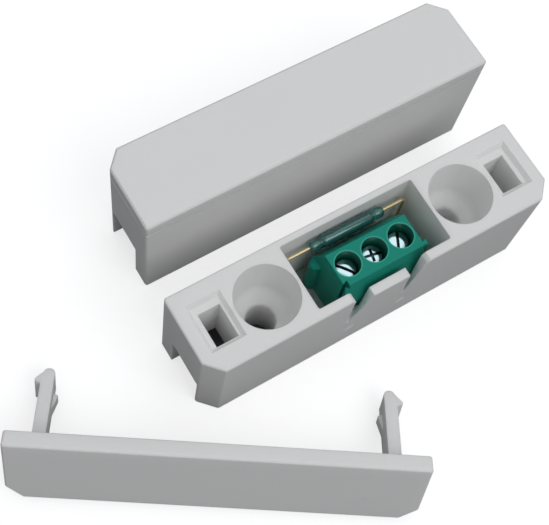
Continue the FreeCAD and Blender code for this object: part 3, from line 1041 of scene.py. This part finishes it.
@dataclass
class SolderPads:
    """Tinned rings on the board's top round the reed's two leads.

    The inset is from a lead's outer face to its pad's middle. The fillet's steps give an inset as a share
    of the pad's radius and a rise as a share of the fillet's height.
    """

    radius: float = 0.85
    thickness: float = 0.05
    sides: int = 40
    lead_inset: float = 0.28
    fillet_height: float = 0.35
    fillet: tuple = ((0.25, 0.0), (0.16, 0.14), (0.10, 0.56))
    shading: float = 60.0
    pieces: list = field(default_factory=list)

    def build(self) -> None:
        """Models one pad at each lead."""
        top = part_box("circuit_board")[1].z
        steps = [(self.radius * share, self.fillet_height * rise) for share, rise in self.fillet]
        for side, name in ((-1, "left"), (1, "right")):
            low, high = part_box(f"reed_blade_{name}")
            lead = low.x if side < 0 else high.x
            place = (lead - side * self.lead_inset * MM, (low.y + high.y) / 2, top + self.thickness * MM / 2)
            pad = add_cylinder(self.sides, self.radius * MM, self.thickness * MM, place)
            pad.name = f"solder_pad_{name}"
            draw_up(pad, steps)
            smooth(pad, self.shading)
            stand_in(pad, SOLDER, BODY)
            self.pieces.append(pad)

    def dress(self, library: FinishLibrary) -> None:
        """Gives the pads their tinning."""
        for pad in self.pieces:
            library.put(pad, SOLDER)


@dataclass
class InnerPieces:
    """Pieces that keep their own meshes and get finishes only, listed by node."""

    finishes: dict

    def build(self) -> None:
        """Reports the nodes that stay."""
        for node in self.finishes:
            log.info("%s: kept", node)

    def dress(self, library: FinishLibrary) -> None:
        """Gives each node its finish."""
        for node, finish in self.finishes.items():
            library.put(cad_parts[node], finish)


# Studio


@dataclass(frozen=True)
class Lamp:
    """A square soft light that faces the origin, with lengths in metres and its power in watts."""

    name: str
    place: tuple
    size: float
    power: float

    def build(self) -> None:
        """Hangs the lamp and turns it to the origin."""
        data = bpy.data.lights.new(self.name, "AREA")
        data.size = self.size
        data.energy = self.power
        lamp = bpy.data.objects.new(self.name, data)
        bpy.context.scene.collection.objects.link(lamp)
        lamp.location = self.place
        lamp.rotation_mode = "QUATERNION"
        lamp.rotation_quaternion = (-Vector(self.place)).to_track_quat("-Z", "Y")


@dataclass
class Studio:
    """Camera, floor, sky and lamps.

    The floor's size and drop, the clip distances and the lamps are in metres, the focal length and the
    picture's width in pixels of the photograph, and other lengths in millimetres. The floor under each unit
    is
    painted in shadow: measured from a unit's middle, a painted shadow range starts where this painted shadow
    begins to lighten and ends where the floor is light. The unseen colour is the one that other surfaces
    reflect. The sky's range is how directly a way has to point to its brightest part for the least and the
    most light.
    """

    eye: tuple = (-63.73, -44.36, 181.72)
    right: tuple = (0.850737, -0.514875, 0.105592)
    down: tuple = (-0.443992, -0.811521, -0.379876)
    ahead: tuple = (0.281279, 0.276292, -0.918991)
    focal_pixels: float = 1151.83
    picture_width: int = 549
    sensor_width: float = 36.0
    clip: tuple = (0.01, 10.0)
    floor_size: float = 6.0
    floor_drop: float = 0.0002
    floor_glow: float = 0.66
    floor_seen: tuple = (0.55, 0.55, 0.56)
    floor_unseen: tuple = (0.2, 0.2, 0.204)
    # Painted shadow under the units: its tone and its ranges in X and Y.
    painted_shadow_tone: float = 0.32
    units: tuple = ((0.0, 0.0), (2.6, 24.3))
    painted_shadow_x: tuple = (27.0, 29.6)
    painted_shadow_y: tuple = (5.6, 6.9)
    sky_way: tuple = (0.22, 0.15, 0.964)
    sky_range: tuple = (-0.3, 1.0)
    sky_light: tuple = (0.05, 0.65)
    sky_colour: tuple = (0.97, 0.985, 1.0)
    lamps: tuple = (Lamp("key", (0.08, -0.44, 0.70), 0.45, 1.6), Lamp("card", (0.33, 0.22, 0.85), 0.40, 0.26))

    def build_camera(self) -> None:
        """Places the camera at the photograph's viewing angle."""
        axes = Matrix((Vector(self.right), -Vector(self.down), -Vector(self.ahead)))
        data = bpy.data.cameras.new("camera")
        data.sensor_width = self.sensor_width
        data.lens = self.focal_pixels / self.picture_width * self.sensor_width
        data.clip_start, data.clip_end = self.clip
        camera = bpy.data.objects.new("camera", data)
        bpy.context.scene.collection.objects.link(camera)
        camera.matrix_world = Matrix.Translation(Vector(self.eye) * MM) @ axes.transposed().to_4x4()
        bpy.context.scene.camera = camera

    def build_floor(self) -> None:
        """Lays a pale floor that the camera sees as white outside the shadow, with a painted shadow under the
        two units.
        """
        bpy.ops.mesh.primitive_plane_add(size=self.floor_size, location=(0, 0, -self.floor_drop))
        floor = bpy.context.object
        floor.name = "floor"
        made = bpy.data.materials.new("floor")
        tree = clear_tree(made)
        path = add_node(tree, "ShaderNodeLightPath").outputs
        seen = calc(tree, "MAXIMUM", path["Is Camera Ray"], path["Is Transmission Ray"])
        share = self.unshaded_share(tree)
        # Painted shadow: the glow, the paint and the bounce all dim under the units.
        light = calc(tree, "MULTIPLY", share, self.floor_glow)
        tone = calc(tree, "MULTIPLY_ADD", share, 1.0 - self.painted_shadow_tone, self.painted_shadow_tone)
        dull = self.matt(tree, self.floor_unseen, tone)
        paint = self.matt(tree, self.floor_seen, tone)
        glow = add_node(tree, "ShaderNodeEmission", Color=(1, 1, 1, 1), Strength=light)
        bright = add_node(tree, "ShaderNodeAddShader", in_0=paint, in_1=glow.outputs[0])
        mix = add_node(tree, "ShaderNodeMixShader", in_0=seen, in_1=dull, in_2=bright.outputs[0])
        add_node(tree, "ShaderNodeOutputMaterial", Surface=mix.outputs[0])
        floor.data.materials.append(made)

    def matt(self, tree: bpy.types.NodeTree, colour: tuple,
             tone: bpy.types.NodeSocket) -> bpy.types.NodeSocket:
        """Gives a matt shader of a colour that is scaled by a tone."""
        scaled = add_node(tree, "ShaderNodeVectorMath", {"operation": "SCALE"}, in_0=colour, Scale=tone)
        return add_node(tree, "ShaderNodeBsdfDiffuse", Color=scaled.outputs[0]).outputs[0]

    def unshaded_share(self, tree: bpy.types.NodeTree) -> bpy.types.NodeSocket:
        """Works out how far the floor is out of the shadow painted under the two units, which keeps their
        holes dark.

        Args:
            tree: the floor's node tree.

        Returns:
            The share, from 0 under a unit to 1 on open floor.
        """
        place = object_place(tree)
        soft = {"interpolation_type": "SMOOTHSTEP"}
        share = 1.0
        for x, y in self.units:
            moved = calc_vector(tree, "SUBTRACT", place, (x * MM, y * MM, 0.0))
            apart = add_node(tree, "ShaderNodeSeparateXYZ", Vector=calc_vector(tree, "ABSOLUTE", moved))
            beyond = [
                ramp(tree, apart.outputs[way], dark * MM, bright * MM, soft)
                for way, (dark, bright) in (("X", self.painted_shadow_x), ("Y", self.painted_shadow_y))
            ]
            share = calc(tree, "MULTIPLY", calc(tree, "MAXIMUM", *beyond), share)
        return share

    def build_world(self) -> None:
        """Lights the sky softly, weaker low down and on the left, and white where the camera sees it."""
        world = bpy.data.worlds.new("studio")
        bpy.context.scene.world = world
        tree = clear_tree(world)
        path = add_node(tree, "ShaderNodeLightPath")
        way = add_node(tree, "ShaderNodeTexCoord").outputs["Generated"]
        lean = calc_vector(tree, "DOT_PRODUCT", way, self.sky_way)
        level = add_node(tree, "ShaderNodeMapRange", Value=lean, From_Min=self.sky_range[0],
                         From_Max=self.sky_range[1], To_Min=self.sky_light[0], To_Max=self.sky_light[1])
        dome = add_node(tree, "ShaderNodeBackground", Color=opaque(self.sky_colour),
                        Strength=level.outputs[0])
        white = add_node(tree, "ShaderNodeBackground", Color=(1, 1, 1, 1), Strength=1.0)
        mix = add_node(tree, "ShaderNodeMixShader", in_0=path.outputs["Is Camera Ray"],
                       in_1=dome.outputs[0], in_2=white.outputs[0])
        add_node(tree, "ShaderNodeOutputWorld", Surface=mix.outputs[0])

    def build(self) -> None:
        """Makes the whole studio."""
        self.build_camera()
        self.build_floor()
        self.build_world()
        for lamp in self.lamps:
            lamp.build()


# Order of work


def sub_assemblies() -> list:
    """Lists the sub-assemblies in the order that they are built.

    Returns:
        The sub-assemblies.
    """
    inner = {"circuit_board": BOARD, "solder_joints": SOLDER, "bar_magnet": MAGNET, "magnet_carrier": HOUSING}
    inner.update({f"terminal_pin_{i}": CONTACT for i in (1, 2, 3)})
    slot_angles = (-52.0, -11.0, 62.0)
    listed = [
        SwitchHousing("switch_base", "switch_housing", HOUSING),
        Moulding("switch_cover", "loose_lid", HOUSING),
        MagnetHousing("magnet_base", "magnet_housing", HOUSING, rounding=0.03),
        Moulding("magnet_cover", "magnet_lid", HOUSING, rounding=0.04),
        TerminalBlock("terminal_body", "terminal_block", GREEN),
        Moulding("reed_blade_left", "reed_lead_left", LEAD, rounding=0.0),
        Moulding("reed_blade_right", "reed_lead_right", LEAD, rounding=0.0),
        ReedTube(),
        SolderPads(),
        InnerPieces(inner),
    ]
    for i, angle in enumerate(slot_angles, start=1):
        listed.append(ClampScrew(i, angle, crossed=i == 2))
        listed.append(Moulding(f"terminal_cage_{i}", f"clamp_cage_{i}", CAGE, rounding=0.06,
                               body=f"cage_{i}"))
    return listed


def main() -> None:
    """Builds the studio and every sub-assembly in order."""
    logging.basicConfig(level=logging.INFO)
    bpy.context.scene.view_settings.view_transform = "Standard"
    Studio().build()
    library = FinishLibrary()
    library.build()
    for assembly in sub_assemblies():
        assembly.build()
        assembly.dress(library)


if __name__ == "__main__":
    main()
